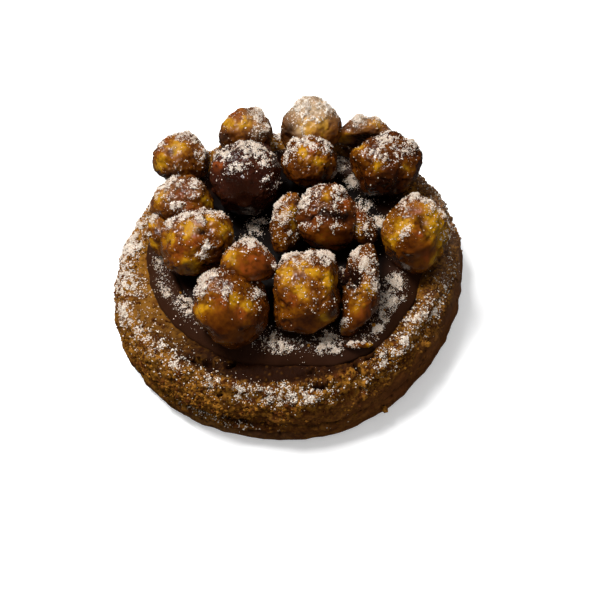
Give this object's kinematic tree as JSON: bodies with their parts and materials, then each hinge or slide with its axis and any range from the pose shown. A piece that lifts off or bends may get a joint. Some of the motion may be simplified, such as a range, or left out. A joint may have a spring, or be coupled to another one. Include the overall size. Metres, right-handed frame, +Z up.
{
  "type": "hazelnut cookie",
  "caption": "Round crumbly cookie with a well of dark chocolate cream, topped with caramelised hazelnuts and dusted with sugar.",
  "frame": {"origin": "middle of the flat underside, on the surface that the cookie rests on", "axes": "+Z up out of the cookie's top, -Y towards the front from which it is seen, +X to the right"},
  "size_m": [0.0783, 0.0776, 0.0349],
  "materials": {
    "biscuit": "matt crumbly baked dough, dark brown, dusted with sugar",
    "chocolate_cream": "smooth dark chocolate cream with a soft sheen",
    "caramel_nut": "hazelnut in clear amber caramel, glossy, dusted with sugar",
    "dark_nut_skin": "dark red-brown hazelnut skin under caramel, glossy"
  },
  "bodies": {
    "root": {"cookie": "biscuit", "chocolate_cream": "chocolate_cream", "nut_upper_half": "caramel_nut", "nut_front_left": "caramel_nut", "nut_front": "caramel_nut", "nut_left_front": "caramel_nut", "nut_right": "caramel_nut", "nut_centre": "caramel_nut", "nut_dark": "dark_nut_skin", "nut_middle_back": "caramel_nut", "nut_right_back": "caramel_nut", "nut_back_middle": "caramel_nut", "nut_back": "caramel_nut", "nut_back_left": "caramel_nut", "nut_left_back": "caramel_nut", "nut_left_piece": "caramel_nut", "nut_centre_half": "caramel_nut", "nut_centre_piece": "caramel_nut", "nut_back_half": "caramel_nut", "nut_front_half": "caramel_nut", "skin_fragment": "dark_nut_skin", "caramel_shard": "caramel_nut"}
  },
  "joints": []
}
